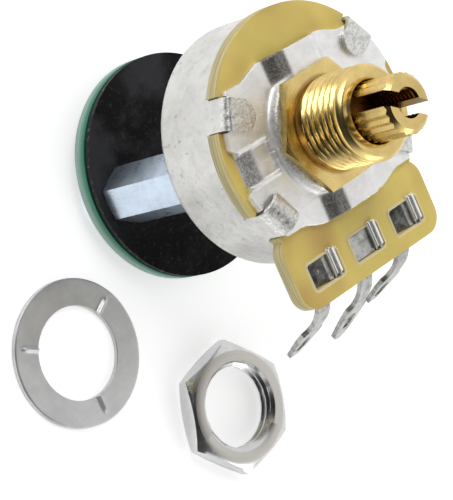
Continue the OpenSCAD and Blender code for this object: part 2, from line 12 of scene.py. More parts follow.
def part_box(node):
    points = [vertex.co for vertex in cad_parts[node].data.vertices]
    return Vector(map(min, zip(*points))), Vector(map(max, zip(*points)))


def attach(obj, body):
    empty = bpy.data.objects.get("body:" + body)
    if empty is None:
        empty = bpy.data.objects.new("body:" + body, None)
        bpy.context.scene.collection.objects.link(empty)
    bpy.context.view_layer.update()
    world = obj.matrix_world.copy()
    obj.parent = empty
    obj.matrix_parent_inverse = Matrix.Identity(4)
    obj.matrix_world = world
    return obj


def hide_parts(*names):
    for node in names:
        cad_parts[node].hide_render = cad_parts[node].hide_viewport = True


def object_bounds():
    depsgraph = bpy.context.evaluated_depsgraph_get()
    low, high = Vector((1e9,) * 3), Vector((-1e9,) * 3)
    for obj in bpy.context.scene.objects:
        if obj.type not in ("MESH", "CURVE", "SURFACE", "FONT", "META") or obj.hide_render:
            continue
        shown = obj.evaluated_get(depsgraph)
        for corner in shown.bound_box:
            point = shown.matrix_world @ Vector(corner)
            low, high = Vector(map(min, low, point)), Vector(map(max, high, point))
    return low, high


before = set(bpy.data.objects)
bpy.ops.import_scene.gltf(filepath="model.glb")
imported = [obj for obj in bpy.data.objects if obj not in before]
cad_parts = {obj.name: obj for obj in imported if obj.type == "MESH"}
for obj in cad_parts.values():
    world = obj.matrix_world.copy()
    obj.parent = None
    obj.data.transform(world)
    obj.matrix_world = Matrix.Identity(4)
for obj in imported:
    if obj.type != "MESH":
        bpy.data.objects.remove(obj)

bl_info = {
    "name": "Potentiometer dressing",
    "version": (1, 0, 0),
    "blender": (4, 5, 0),
    "location": "3D View > Sidebar > Potentiometer",
    "description": "Builds the threads, finishes and stage of a panel potentiometer",
    "category": "Object",
}

CAD_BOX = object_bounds()
MM = 0.001
TAU = 2 * math.pi


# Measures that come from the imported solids

def node_box(name):
    """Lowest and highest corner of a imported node, in millimetres."""
    low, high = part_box(name)
    return low / MM, high / MM


BUSHING_LOW, BUSHING_HIGH = node_box("bushing")
SHAFT_TIP = node_box("shaft")[1].z
NUT_LOW, NUT_HIGH = node_box("mounting_nut")
BOARD_LOW, BOARD_HIGH = node_box("element_board")
CIRCUIT_LOW, CIRCUIT_HIGH = node_box("circuit_board")
WASHER_LOW, WASHER_HIGH = node_box("flat_washer")
FLOOR_Z = CAD_BOX[0][2]


# Sizes of the pieces, in millimetres; the front of the bushing's hexagon is at height 0

BUSHING_BORE = 3.05
BUSHING_HEX_H = 0.8
BUSHING_NECK = 4.58
THREAD_START = 0.7
BUSHING_SPIGOT = 4.4
BUSHING_STAKE = 4.9
BUSHING_STAKE_H = 0.15
BUSHING_TURN = math.radians(2)
BUSHING_FLATS = 11.6
PLATE_T = 0.6
PLATE_TOP = -BUSHING_HEX_H
WING_TOP = -1.5
PLATE_R = 12.1
PLATE_END = 11.4
BAY_HALF_W = 2.0
BAY_CORNER = 0.75
BAY_DEPTH = 0.6
PLATE_HALF_W = 8.42
WING_INSET = 0.92
WING_START = 4.1
WING_RUN = 3.6
BOSS_R = 6.95
CHANNEL_END_X = -7.0
CHANNEL_HALF_W = 1.62
CHANNEL_LIP_Y = 1.74
TAB_NOTCH_R = 11.5
TAB_NOTCH_HALF_W = 1.75
TAB_PLACES = [math.radians(angle) for angle in (152, 208, -28, 34)]
TERMINAL_PITCH = 6.35
WINDOW_Y = -12.4
WINDOW_SIZE = (4.3, 2.6)
HOLE_R = 1.5
HOLE_DEPTH = 5.5
SLOT_W = 1.5
SLOT_TURN = math.radians(148)
WASHER_THICK = 0.6
NUT_FLATS = 12.7
NUT_FACE_INSET = 0.35
NUT_TURN = math.radians(12)


# Places of painted shade on the front of the plate: where each starts and ends, in millimetres

PAINTED_SHADE_STEP_X = (-3.7, -1.5)
PAINTED_SHADE_STEP_FROM_Y = (5.2, 6.4)
PAINTED_SHADE_RING_R = (6.0, 6.45)
PAINTED_SHADE_RING_X = (-4.4, -2.6)
PAINTED_SHADE_CHANNEL_X = (-11.0, -9.7)
PAINTED_SHADE_CHANNEL_Y = (-1.5, 1.5)


# The four corners of a rectangle, from the first quarter on

CORNER_SIDES = ((1, 1), (-1, 1), (-1, -1), (1, -1))


def length_setting(name, description, default):
    """A length in millimetres that a user may change."""
    return FloatProperty(name=name, description=description, default=default, min=0.0, soft_max=50.0)


def colour_setting(name, description, default):
    """A colour that a user may change."""
    return FloatVectorProperty(name=name, description=description, default=default,
                               subtype="COLOR", size=3, min=0.0, max=1.0)


class PotentiometerSizes(PropertyGroup):
    """Sizes of the details that the solids leave plain, in millimetres."""
    thread_pitch: length_setting("Thread pitch", "Distance from one thread crest to the next", 0.794)
    thread_depth: length_setting("Thread depth", "Height of the bushing's thread", 0.38)
    thread_phase: length_setting("Thread phase", "Height at which a thread crest passes the X axis", 0.59)
    thread_radius: length_setting("Thread radius", "Radius over the bushing's thread crests", 4.7625)
    soft_edge: length_setting("Soft edge", "Rounding of the sheet metal's edges", 0.06)


class PotentiometerColours(PropertyGroup):
    """Colours of the finishes."""
    brass: colour_setting("Brass", "Turned brass of the bushing and shaft", (0.80, 0.60, 0.235))
    bright_zinc: colour_setting("Bright zinc", "Stamped mounting plate", (0.97, 0.97, 0.96))
    tin_plate: colour_setting("Tin plate", "Drawn can", (0.69, 0.685, 0.66))
    terminal_tin: colour_setting("Terminal tin", "Dipped solder terminals", (0.58, 0.58, 0.555))
    blue_zinc: colour_setting("Blue zinc", "Pillars and screws", (0.68, 0.79, 0.92))
    nickel: colour_setting("Nickel", "Mounting nut and washer", (0.62, 0.62, 0.62))
    phenolic: colour_setting("Phenolic", "Element board", (0.86, 0.67, 0.165))
    phenolic_cloud: colour_setting("Phenolic cloud", "Browner cloud in the element board",
                                   (0.60, 0.385, 0.10))
    fibre: colour_setting("Black fibre", "Insulator disc", (0.011, 0.011, 0.012))
    mask_green: colour_setting("Green mask", "Circuit board coating", (0.03, 0.16, 0.11))


class PotentiometerCamera(PropertyGroup):
    """Where the picture is taken from, in the part's own frame."""
    place: FloatVectorProperty(name="Place", description="Camera position in millimetres",
                               default=(-128.01, 26.66, 135.58), size=3)
    right: FloatVectorProperty(name="Right", description="Direction of the picture's right side",
                               default=(0.6636, -0.4021, 0.6309), size=3)
    ahead: FloatVectorProperty(name="Ahead", description="Direction the camera looks",
                               default=(0.6189, -0.1788, -0.7649), size=3)
    dark_side: FloatVectorProperty(name="Dark side", description="Direction of the studio's dark side",
                                   default=(-0.47, 0.08, 0.88), size=3)
    focal_pixels: FloatProperty(name="Focal length", description="Focal length in picture pixels",
                                default=1946.4)
    picture_height: IntProperty(name="Picture height", description="Height of the picture in pixels",
                                default=500)


def sizes():
    """The sizes that the sidebar shows."""
    return bpy.context.scene.pot_sizes


def colours():
    """The colours that the sidebar shows."""
    return bpy.context.scene.pot_colours


# Shader node groups that put out masks and heights

def new_group(name, inputs, outputs):
    """An empty shader node group with number sockets, and its two end nodes."""
    group = bpy.data.node_groups.new(name, "ShaderNodeTree")
    for label, default in inputs.items():
        socket = group.interface.new_socket(name=label, in_out="INPUT", socket_type="NodeSocketFloat")
        socket.default_value = default
    for label in outputs:
        group.interface.new_socket(name=label, in_out="OUTPUT", socket_type="NodeSocketFloat")
    entry = group.nodes.new("NodeGroupInput")
    leave = group.nodes.new("NodeGroupOutput")
    return group, entry, leave


def link(tree, source, target):
    """Links one socket to another."""
    tree.links.new(source, target)


def feed(tree, value, socket):
    """Sets a socket to a number, or links it to another socket."""
    if isinstance(value, (int, float)):
        socket.default_value = value
    else:
        link(tree, value, socket)


def add_math(tree, operation, first, second=None):
    """A math node fed by sockets or numbers."""
    node = tree.nodes.new("ShaderNodeMath")
    node.operation = operation
    for value, socket in zip((first, second), node.inputs):
        if value is not None:
            feed(tree, value, socket)
    return node.outputs[0]


def times(tree, first, second):
    """The product of two sockets or numbers."""
    return add_math(tree, "MULTIPLY", first, second)


def plus(tree, first, second):
    """The sum of two sockets or numbers."""
    return add_math(tree, "ADD", first, second)


def add_noise(tree, vector, scale, detail=3.0, roughness=0.5):
    """Noise between 0 and 1, mostly near its middle."""
    node = tree.nodes.new("ShaderNodeTexNoise")
    node.inputs["Detail"].default_value = detail
    node.inputs["Roughness"].default_value = roughness
    link(tree, vector, node.inputs["Vector"])
    feed(tree, scale, node.inputs["Scale"])
    return node.outputs["Fac"]


def add_range(tree, value, low, high, to_low=0.0, to_high=1.0):
    """A value mapped from low..high to another span, clamped."""
    node = tree.nodes.new("ShaderNodeMapRange")
    node.interpolation_type = "SMOOTHSTEP"
    link(tree, value, node.inputs["Value"])
    for label, number in (("From Min", low), ("From Max", high), ("To Min", to_low), ("To Max", to_high)):
        node.inputs[label].default_value = number
    return node.outputs["Result"]


def rises(tree, value, start, end):
    """0 up to one length and 1 from another, both in millimetres."""
    return add_range(tree, value, start * MM, end * MM)


def falls(tree, value, start, end):
    """1 up to one length and 0 from another, both in millimetres."""
    return add_range(tree, value, start * MM, end * MM, 1.0, 0.0)


def object_vector(tree):
    """The place on the part, in metres."""
    return tree.nodes.new("ShaderNodeTexCoord").outputs["Object"]


def scaled_vector(tree, vector, scale, rotation=(0.0, 0.0, 0.0)):
    """A vector stretched, and turned by angles in radians."""
    node = tree.nodes.new("ShaderNodeMapping")
    node.inputs["Scale"].default_value = scale
    node.inputs["Rotation"].default_value = rotation
    link(tree, vector, node.inputs["Vector"])
    return node.outputs["Vector"]


def split_vector(tree, vector):
    """The x, y and z of a vector."""
    parts = tree.nodes.new("ShaderNodeSeparateXYZ")
    link(tree, vector, parts.inputs[0])
    return parts.outputs[0], parts.outputs[1], parts.outputs[2]


def joined_vector(tree, x, z=0.0):
    """A vector with the given x and z, and y at 0."""
    node = tree.nodes.new("ShaderNodeCombineXYZ")
    feed(tree, x, node.inputs[0])
    feed(tree, z, node.inputs[2])
    return node.outputs[0]


def place_parts(tree, middle=(0.0, 0.0, 0.0)):
    """x, y and z from a middle given in millimetres, and the distance from its axis, in metres."""
    offset = tree.nodes.new("ShaderNodeVectorMath")
    offset.operation = "SUBTRACT"
    offset.inputs[1].default_value = Vector(middle) * MM
    link(tree, object_vector(tree), offset.inputs[0])
    x, y, z = split_vector(tree, offset.outputs[0])
    square = plus(tree, times(tree, x, x), times(tree, y, y))
    return x, y, z, add_math(tree, "SQRT", square)


def mottle_group():
    """Soft blotches and fine grain, for plated and moulded surfaces."""
    group, entry, leave = new_group(
        "mottle", {"Blotch Scale": 300.0, "Grain Scale": 4000.0}, ["Blotch", "Grain"])
    place = object_vector(group)
    blotches = add_noise(group, place, entry.outputs[0], 4.0, 0.6)
    link(group, add_range(group, blotches, 0.3, 0.7), leave.inputs[0])
    link(group, add_noise(group, place, entry.outputs[1], 2.0, 0.6), leave.inputs[1])
    return group


def turning_group():
    """Fine rings left by a lathe: noise that varies only along the axis and the radius."""
    group, entry, leave = new_group("turning marks", {"Scale": 9000.0}, ["Rings"])
    _, _, height, radius = place_parts(group)
    rings = add_noise(group, joined_vector(group, radius, height), entry.outputs[0], 2.0, 0.7)
    link(group, rings, leave.inputs[0])
    return group


def scratch_group():
    """Long thin random scratches in two directions."""
    group, entry, leave = new_group("scratches", {"Scale": 500.0}, ["Scratch"])
    place = object_vector(group)
    masks = []
    for turn, stretch in ((0.6, 14.0), (2.1, 18.0)):
        drawn_out = scaled_vector(group, place, (1.0, stretch, 1.0), (turn, 0.4, turn))
        lines = add_noise(group, drawn_out, entry.outputs[0], 2.0, 0.5)
        masks.append(add_range(group, lines, 0.62, 0.7))
    link(group, add_math(group, "MAXIMUM", *masks), leave.inputs[0])
    return group


GROUP_MAKERS = {"mottle": mottle_group, "turning marks": turning_group, "scratches": scratch_group}


def place_group(tree, name, **values):
    """A copy of a shared node group in a material, with this material's values."""
    group = bpy.data.node_groups.get(name) or GROUP_MAKERS[name]()
    node = tree.nodes.new("ShaderNodeGroup")
    node.node_tree = group
    for label, value in values.items():
        node.inputs[label.replace("_", " ")].default_value = value
    return node


def new_material(name):
    """A material with its tree and its main shader."""
    material = bpy.data.materials.new(name)
    material.use_nodes = True
    tree = material.node_tree
    return material, tree, tree.nodes["Principled BSDF"]


def add_mix(tree, factor, first, second):
    """A colour between two colours, sockets or values."""
    node = tree.nodes.new("ShaderNodeMix")
    node.data_type = "RGBA"
    feed(tree, factor, node.inputs["Factor"])
    for label, value in (("A", first), ("B", second)):
        socket = next(entry for entry in node.inputs if entry.name == label and entry.type == "RGBA")
        if hasattr(value, "default_value"):
            link(tree, value, socket)
        else:
            socket.default_value = (*value[:3], 1.0)
    return next(leave for leave in node.outputs if leave.type == "RGBA")


def fill_shader(tree, bsdf, colour, rough, height, relief_mm):
    """Links a colour, a roughness and a small relief to a material's shader."""
    link(tree, colour, bsdf.inputs["Base Color"])
    link(tree, rough, bsdf.inputs["Roughness"])
    bump = tree.nodes.new("ShaderNodeBump")
    bump.inputs["Distance"].default_value = relief_mm * MM
    link(tree, height, bump.inputs["Height"])
    link(tree, bump.outputs["Normal"], bsdf.inputs["Normal"])


def lay_over(material, mask, colour):
    """Covers a material's base colour with another one where the mask is 1."""
    tree = material.node_tree
    base = tree.nodes["Principled BSDF"].inputs["Base Color"]
    link(tree, add_mix(tree, mask, base.links[0].from_socket, colour), base)


def shade(colour, factor):
    """The same colour, darker or lighter."""
    return tuple(min(1.0, channel * factor) for channel in colour[:3])


def plated_metal(name, colour, rough, blotch_scale, dark=0.8, rough_span=0.1, scratch=0.15,
                 relief_mm=0.004, metallic=1.0):
    """Plated sheet: mottled colour and roughness, fine grain and a few scratches."""
    material, tree, bsdf = new_material(name)
    bsdf.inputs["Metallic"].default_value = metallic
    mottle = place_group(tree, "mottle", Blotch_Scale=blotch_scale, Grain_Scale=4200.0)
    scratches = place_group(tree, "scratches", Scale=700.0).outputs["Scratch"]
    blotch = mottle.outputs["Blotch"]
    grain = mottle.outputs["Grain"]
    base = add_mix(tree, blotch, shade(colour, dark), colour)
    scratched = add_mix(tree, times(tree, scratches, scratch), base, shade(colour, 0.6))
    spread = times(tree, plus(tree, blotch, grain), rough_span / 2)
    height = add_math(tree, "SUBTRACT", grain, times(tree, scratches, 0.5))
    fill_shader(tree, bsdf, scratched, plus(tree, spread, rough), height, relief_mm)
    return material


def band(tree, value, low, high, soft):
    """1 where a length is between low and high (in mm), 0 outside, with soft ends."""
    return times(tree, rises(tree, value, low - soft, low), falls(tree, value, high, high + soft))


def stamped_finish_and_shade(name, colour):
    """Bright plated sheet, with painted shade on its left step, in its channel and beside the boss."""
    material = plated_metal(name, colour, rough=0.32, blotch_scale=500.0, dark=0.84, rough_span=0.16,
                            scratch=0.2, relief_mm=0.016, metallic=0.72)
    tree = material.node_tree
    speckle = add_range(tree, add_noise(tree, object_vector(tree), 4600.0, 3.0, 0.7), 0.38, 0.64)
    x, y, _, radius = place_parts(tree)
    outer = rises(tree, add_math(tree, "ABSOLUTE", y), *PAINTED_SHADE_STEP_FROM_Y)
    step = times(tree, band(tree, x, *PAINTED_SHADE_STEP_X, 0.5), outer)
    ring = times(tree, band(tree, radius, *PAINTED_SHADE_RING_R, 0.35), falls(tree, x, *PAINTED_SHADE_RING_X))
    channel = times(tree, band(tree, y, *PAINTED_SHADE_CHANNEL_Y, 0.15), band(tree, x, *PAINTED_SHADE_CHANNEL_X, 0.7))
    # Painted shade: each place gets a dark colour laid over the plating, broken up by the speckle; the ring's
    # shade is tinted brown.
    for place, most, least, overlay in ((channel, 0.85, 0.45, (0.20, 0.19, 0.18)),
                                     (ring, 0.7, 0.3, (0.30, 0.25, 0.20)),
                                     (step, 0.92, 0.74, (0.10, 0.095, 0.09))):
        lay_over(material, times(tree, place, add_range(tree, speckle, 0.0, 1.0, most, least)), overlay)
    return material


def nut_finish(name, colour):
    """Bright nickel with a duller, warmer turned face round the nut's bore."""
    material = plated_metal(name, colour, rough=0.16, blotch_scale=300.0, dark=0.84, rough_span=0.12,
                            metallic=0.97)
    tree = material.node_tree
    half_height = (NUT_HIGH.z - NUT_LOW.z) / 2
    face_r = NUT_FLATS / 2 - NUT_FACE_INSET
    _, _, height, radius = place_parts(tree, (NUT_LOW + NUT_HIGH) / 2)
    on_face = rises(tree, add_math(tree, "ABSOLUTE", height), half_height - 0.06, half_height - 0.02)
    face = times(tree, on_face, band(tree, radius, sizes().thread_radius, face_r, 0.06))
    rings = add_noise(tree, scaled_vector(tree, joined_vector(tree, radius), (6500.0, 1.0, 1.0)), 1.0, 2.0)
    overlay = add_mix(tree, rings, (0.42, 0.395, 0.35), (0.66, 0.63, 0.58))
    lay_over(material, times(tree, face, 0.8), overlay)
    rough = tree.nodes["Principled BSDF"].inputs["Roughness"]
    link(tree, plus(tree, rough.links[0].from_socket, times(tree, face, 0.14)), rough)
    return material


def rough_tin(name, colour, cloud_tone=0.84, dent_mm=0.085, cloud_scale=240.0, worn_above=None):
    """Dull tin plate: orange-peel dents, cloudy tone and pits, and crazed folds above a height in mm."""
    material, tree, bsdf = new_material(name)
    bsdf.inputs["Metallic"].default_value = 1.0
    place = object_vector(tree)
    dents = add_noise(tree, place, 1100.0, 4.0, 0.62)
    grain = add_noise(tree, place, 5200.0, 2.0, 0.6)
    cloud = place_group(tree, "mottle", Blotch_Scale=cloud_scale, Grain_Scale=1500.0)
    pits = add_range(tree, add_noise(tree, place, 1700.0, 2.0, 0.6), 0.66, 0.74)
    clouded = add_mix(tree, cloud.outputs["Blotch"], shade(colour, cloud_tone), colour)
    base = add_mix(tree, add_range(tree, dents, 0.5, 0.68, 0.0, 0.45), clouded, shade(colour, 0.7))
    if worn_above is not None:
        crazed = add_range(tree, add_noise(tree, place, 3600.0, 4.0, 0.75), 0.3, 0.62)
        folded = add_mix(tree, crazed, shade(colour, 0.66), shade(colour, 1.15))
        overlay = rises(tree, place_parts(tree)[2], worn_above - 0.1, worn_above + 0.1)
        base = add_mix(tree, overlay, base, folded)
    pitted = add_mix(tree, times(tree, pits, 0.6), base, shade(colour, 0.4))
    rough = add_range(tree, cloud.outputs["Grain"], 0.3, 0.7, 0.3, 0.48)
    bumps = plus(tree, dents, times(tree, grain, 0.12))
    height = add_math(tree, "SUBTRACT", bumps, times(tree, pits, 0.3))
    fill_shader(tree, bsdf, pitted, rough, height, dent_mm)
    return material


def slot_painted_shade(tree):
    """1 inside the shaft's slot and end hole, where painted shade darkens the brass, and 0 outside."""
    x, y, height, radius = place_parts(tree)
    across = add_math(tree, "SUBTRACT", times(tree, y, math.cos(SLOT_TURN)),
                      times(tree, x, math.sin(SLOT_TURN)))
    in_slot = falls(tree, add_math(tree, "ABSOLUTE", across), SLOT_W / 2 + 0.01, SLOT_W / 2 + 0.06)
    in_hole = falls(tree, radius, HOLE_R + 0.02, HOLE_R + 0.08)
    below_tip = falls(tree, height, SHAFT_TIP - 0.3, SHAFT_TIP - 0.02)
    return times(tree, add_math(tree, "MAXIMUM", in_slot, in_hole), below_tip)


def neck_painted_shade(tree):
    """0.7 on the bushing's plain neck, where painted shade darkens the brass, and 0 elsewhere."""
    _, _, height, radius = place_parts(tree)
    beside_neck = falls(tree, radius, BUSHING_NECK + 0.12, BUSHING_NECK + 0.52)
    neck = times(tree, band(tree, height, 0.0, THREAD_START + 0.05, 0.25), beside_neck)
    return times(tree, neck, 0.7)


def turned_brass(name, colour, painted_shade=None):
    """Brass from a lathe: fine rings, a mottled tone, and painted shade where a mask is given."""
    material, tree, bsdf = new_material(name)
    bsdf.inputs["Metallic"].default_value = 1.0
    rings = place_group(tree, "turning marks", Scale=7000.0).outputs["Rings"]
    mottle = place_group(tree, "mottle", Blotch_Scale=420.0, Grain_Scale=6000.0)
    tone = add_mix(tree, mottle.outputs["Blotch"], shade(colour, 0.78), colour)
    if painted_shade:
        # Painted shade: dark brown laid over the brass where the mask is 1.
        tone = add_mix(tree, painted_shade(tree), tone, (colour[0] * 0.3, colour[1] * 0.19, colour[2] * 0.08))
    rough = add_range(tree, rings, 0.3, 0.7, 0.17, 0.32)
    fill_shader(tree, bsdf, tone, rough, height=rings, relief_mm=0.004)
    return material


def cut_edge(tree):
    """1 on a board's cut edge and 0 on its two faces."""
    normal = tree.nodes.new("ShaderNodeNewGeometry").outputs["True Normal"]
    upright = add_math(tree, "ABSOLUTE", split_vector(tree, normal)[2])
    return add_range(tree, upright, 0.3, 0.6, 1.0, 0.0)


def laminate(name, colour, edge_front, edge_back, span, rough, layer_tone, cloud_colour=None):
    """Board laminate: fine fibre grain on the faces, and layers round its cut edge between two heights."""
    material, tree, bsdf = new_material(name)
    mottle = place_group(tree, "mottle", Blotch_Scale=260.0, Grain_Scale=5000.0)
    grain = mottle.outputs["Grain"]
    place = object_vector(tree)
    face = add_mix(tree, mottle.outputs["Blotch"], shade(colour, 0.94), colour)
    if cloud_colour:
        cloud = add_range(tree, add_noise(tree, place, 120.0, 1.5), 0.4, 0.66)
        face = add_mix(tree, cloud, face, cloud_colour)
    cut = cut_edge(tree)
    layers = add_noise(tree, scaled_vector(tree, place, (180.0, 180.0, 5200.0)), 1.0, 1.0)
    depth = rises(tree, split_vector(tree, place)[2], *span)
    whole = add_mix(tree, cut, face, add_mix(tree, depth, edge_back, edge_front))
    layer_mask = times(tree, add_range(tree, layers, 0.35, 0.65, 1.0, 0.0), cut)
    dark = add_mix(tree, 1.0 - layer_tone, whole, (0.0, 0.0, 0.0))
    layered = add_mix(tree, layer_mask, whole, dark)
    face_rough = add_range(tree, grain, 0.3, 0.7, rough, rough + 0.12)
    all_rough = plus(tree, times(tree, cut, 0.3), face_rough)
    height = plus(tree, grain, times(tree, layers, cut))
    fill_shader(tree, bsdf, layered, all_rough, height, relief_mm=0.01)
    return material


def speckled_fibre(name, colour):
    """Pressed black fibre with small pale flecks, painted light in paler clouds toward +Y, painted shade
    toward -Y, and a painted highlight on its cut edge.
    """
    material, tree, bsdf = new_material(name)
    place = object_vector(tree)
    flecks = add_range(tree, add_noise(tree, place, 1900.0, 3.0, 0.75), 0.52, 0.72)
    cloud = add_range(tree, add_noise(tree, place, 130.0, 4.0, 0.6), 0.4, 0.6)
    # Painted light and shade: the clouds pale only toward +Y, and the fibre is painted darker toward -Y where
    # less light falls.
    clouded = times(tree, cloud, rises(tree, place_parts(tree)[1], -7.0, 5.0))
    base = add_mix(tree, clouded, shade(colour, 0.3), shade(colour, 3.4))
    face = add_mix(tree, times(tree, flecks, 0.5), base, (0.05, 0.05, 0.055))
    # The paler grey on the cut edge is a painted highlight along the rim.
    rim = add_mix(tree, flecks, (0.03, 0.03, 0.032), (0.14, 0.145, 0.15))
    whole = add_mix(tree, cut_edge(tree), face, rim)
    rough = add_range(tree, cloud, 0.0, 1.0, 0.5, 0.72)
    bsdf.inputs["Specular IOR Level"].default_value = 0.12
    fill_shader(tree, bsdf, whole, rough, add_noise(tree, place, 3000.0, 3.0, 0.6), relief_mm=0.02)
    return material


def moulded(name, colour, rough):
    """Plain moulded or printed surface with a fine grain."""
    material, tree, bsdf = new_material(name)
    mottle = place_group(tree, "mottle", Blotch_Scale=300.0, Grain_Scale=5000.0)
    grain = mottle.outputs["Grain"]
    tone = add_mix(tree, mottle.outputs["Blotch"], shade(colour, 0.85), colour)
    fill_shader(tree, bsdf, tone, add_range(tree, grain, 0.3, 0.7, rough, rough + 0.15), grain, 0.006)
    return material


def dress(node_name, material):
    """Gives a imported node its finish."""
    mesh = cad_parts[node_name].data
    mesh.materials.clear()
    mesh.materials.append(material)


def soften(node_name, width_mm):
    """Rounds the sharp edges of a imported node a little, so that they catch the light."""
    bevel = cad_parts[node_name].modifiers.new("soft edges", "BEVEL")
    bevel.width = width_mm * MM
    bevel.segments = 2
    bevel.limit_method = "ANGLE"
    bevel.angle_limit = math.radians(35)


def mesh_object(name, build, material, body, replaced=()):
    """A new piece from a bmesh builder, which rides on a body."""
    shape = bmesh.new()
    build(shape)
    mesh = bpy.data.meshes.new(name)
    shape.to_mesh(mesh)
    shape.free()
    mesh.materials.append(material)
    mesh.polygons.foreach_set("use_smooth", [True] * len(mesh.polygons))
    mesh.set_sharp_from_angle(angle=math.radians(38))
    piece = bpy.data.objects.new(name, mesh)
    bpy.context.scene.collection.objects.link(piece)
    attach(piece, body)
    if replaced:
        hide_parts(*replaced)


class PotentiometerStep(Operator):
    """One step of the dressing."""
    bl_options = {"REGISTER", "UNDO"}

    def execute(self, context):
        self.make(context)
        return {"FINISHED"}


class OBJECT_OT_pot_stage(PotentiometerStep):
    """Make the floor, the lights and the camera"""
    bl_idname = "object.pot_stage"
    bl_label = "Stage"

    def make(self, context):
        make_floor()
        make_world(context)
        make_lights()
        make_camera(context)
        context.scene.view_settings.view_transform = "Standard"


def make_floor():
    """Pale plane under the part, with a glow that keeps it pale to the camera and in reflections."""
    reach = 1.5
    glow_strength = 0.56
    mesh = bpy.data.meshes.new("floor")
    corners = [(side_x * reach, side_y * reach, FLOOR_Z) for side_x, side_y in CORNER_SIDES]
    mesh.from_pydata(corners, [], [(0, 1, 2, 3)])
    floor = bpy.data.objects.new("floor", mesh)
    bpy.context.scene.collection.objects.link(floor)
    material, tree, bsdf = new_material("pale floor")
    bsdf.inputs["Base Color"].default_value = (0.82, 0.82, 0.82, 1.0)
    bsdf.inputs["Roughness"].default_value = 0.9
    glow = tree.nodes.new("ShaderNodeEmission")
    paths = tree.nodes.new("ShaderNodeLightPath")
    seen = add_math(tree, "MAXIMUM", paths.outputs["Is Camera Ray"], paths.outputs["Is Glossy Ray"])
    link(tree, times(tree, seen, glow_strength), glow.inputs["Strength"])
    both = tree.nodes.new("ShaderNodeAddShader")
    link(tree, bsdf.outputs[0], both.inputs[0])
    link(tree, glow.outputs[0], both.inputs[1])
    link(tree, both.outputs[0], tree.nodes["Material Output"].inputs["Surface"])
    mesh.materials.append(material)


def soft_light(name, place_mm, target_mm, size_mm, watts):
    """A rectangular lamp that faces its target."""
    data = bpy.data.lights.new(name, "AREA")
    data.shape = "RECTANGLE"
    data.size = size_mm[0] * MM
    data.size_y = size_mm[1] * MM
    data.energy = watts
    lamp = bpy.data.objects.new(name, data)
    bpy.context.scene.collection.objects.link(lamp)
    lamp.location = Vector(place_mm) * MM
    lamp.rotation_euler = (Vector(target_mm) - Vector(place_mm)).to_track_quat("-Z", "Y").to_euler()


def make_world(context):
    """A pale studio with a dark side in front of the part, and white where it is seen directly."""
    world = bpy.data.worlds.new("studio")
    context.scene.world = world
    world.use_nodes = True
    tree = world.node_tree
    direction = tree.nodes.new("ShaderNodeVectorMath")
    direction.operation = "DOT_PRODUCT"
    direction.inputs[1].default_value = Vector(context.scene.pot_camera.dark_side).normalized()
    link(tree, tree.nodes.new("ShaderNodeTexCoord").outputs["Generated"], direction.inputs[0])
    dark_from = 0.5
    dark_full = 0.78
    level = add_range(tree, direction.outputs["Value"], dark_from, dark_full, 1.0, 0.02)
    direct = tree.nodes.new("ShaderNodeLightPath").outputs["Is Camera Ray"]
    link(tree, add_math(tree, "MAXIMUM", level, direct), tree.nodes["Background"].inputs["Strength"])
    tree.nodes["Background"].inputs["Color"].default_value = (1.0, 1.0, 1.0, 1.0)


def make_lights():
    """One large lamp above and behind, and two weak ones from the left and from below."""
    soft_light("top light", place_mm=(-30, 240, 290), target_mm=(0, 0, 0), size_mm=(190, 140), watts=0.42)
    for name, place_mm, size_mm in (("left light", (-330, -40, 60), (80, 160)),
                                    ("low light", (60, -300, 120), (160, 90))):
        soft_light(name, place_mm, target_mm=(0, 0, -5), size_mm=size_mm, watts=0.09)


def make_camera(context):
    """The camera of the photograph, turned so that its right and ahead are at a right angle."""
    settings = context.scene.pot_camera
    right = Vector(settings.right).normalized()
    ahead = Vector(settings.ahead)
    ahead = (ahead - right * ahead.dot(right)).normalized()
    up = right.cross(ahead)
    data = bpy.data.cameras.new("camera")
    data.lens = settings.focal_pixels * data.sensor_width / settings.picture_height
    data.clip_start = 0.01
    camera = bpy.data.objects.new("camera", data)
    context.scene.collection.objects.link(camera)
    turn = Matrix((right, up, -ahead)).transposed().to_4x4()
    camera.matrix_world = Matrix.Translation(Vector(settings.place) * MM) @ turn
    context.scene.camera = camera


def new_vertex(shape, x, y, z):
    """A vertex at a place in millimetres."""
    return shape.verts.new(Vector((x, y, z)) * MM)


def join_loops(shape, loops, closed=False):
    """Skins each loop of vertices to the next one, and the last to the first where the skin closes."""
    for near, far in zip(loops, loops[1:] + loops[:1] if closed else loops[1:]):
        for step in range(len(near)):
            after = (step + 1) % len(near)
            shape.faces.new((near[step], far[step], far[after], near[after]))


def turned_skin(shape, columns, profile, first_turn, middle=(0.0, 0.0)):
    """A ring-shaped skin: profile(turn) gives its closed section there, as radius and height."""
    loops = []
    for column in range(columns):
        turn = first_turn + TAU * column / columns
        loops.append([new_vertex(shape, middle[0] + radius * math.cos(turn),
                                 middle[1] + radius * math.sin(turn), height)
                      for radius, height in profile(turn)])
    join_loops(shape, loops, closed=True)


def thread_wave(height, turn, pitch):
    """0 in the root and 1 on the crest of a helical thread, with a narrow flat on each."""
    flat_share = 0.18
    position = (height / pitch - turn / TAU) % 1.0
    slope = abs(2 * position - 1)
    return min(1.0, max(0.0, (slope - flat_share) / (1 - 2 * flat_share)))


def hexagon_radius(across_flats, turn):
    """Distance from the middle of a hexagon to its side in the given direction."""
    sixth = TAU / 6
    offset = turn % sixth - sixth / 2
    return across_flats / 2 / math.cos(offset)


def steps_between(low, high, count):
    """Evenly spaced values from low to high, both included."""
    return [low + (high - low) * step / count for step in range(count + 1)]


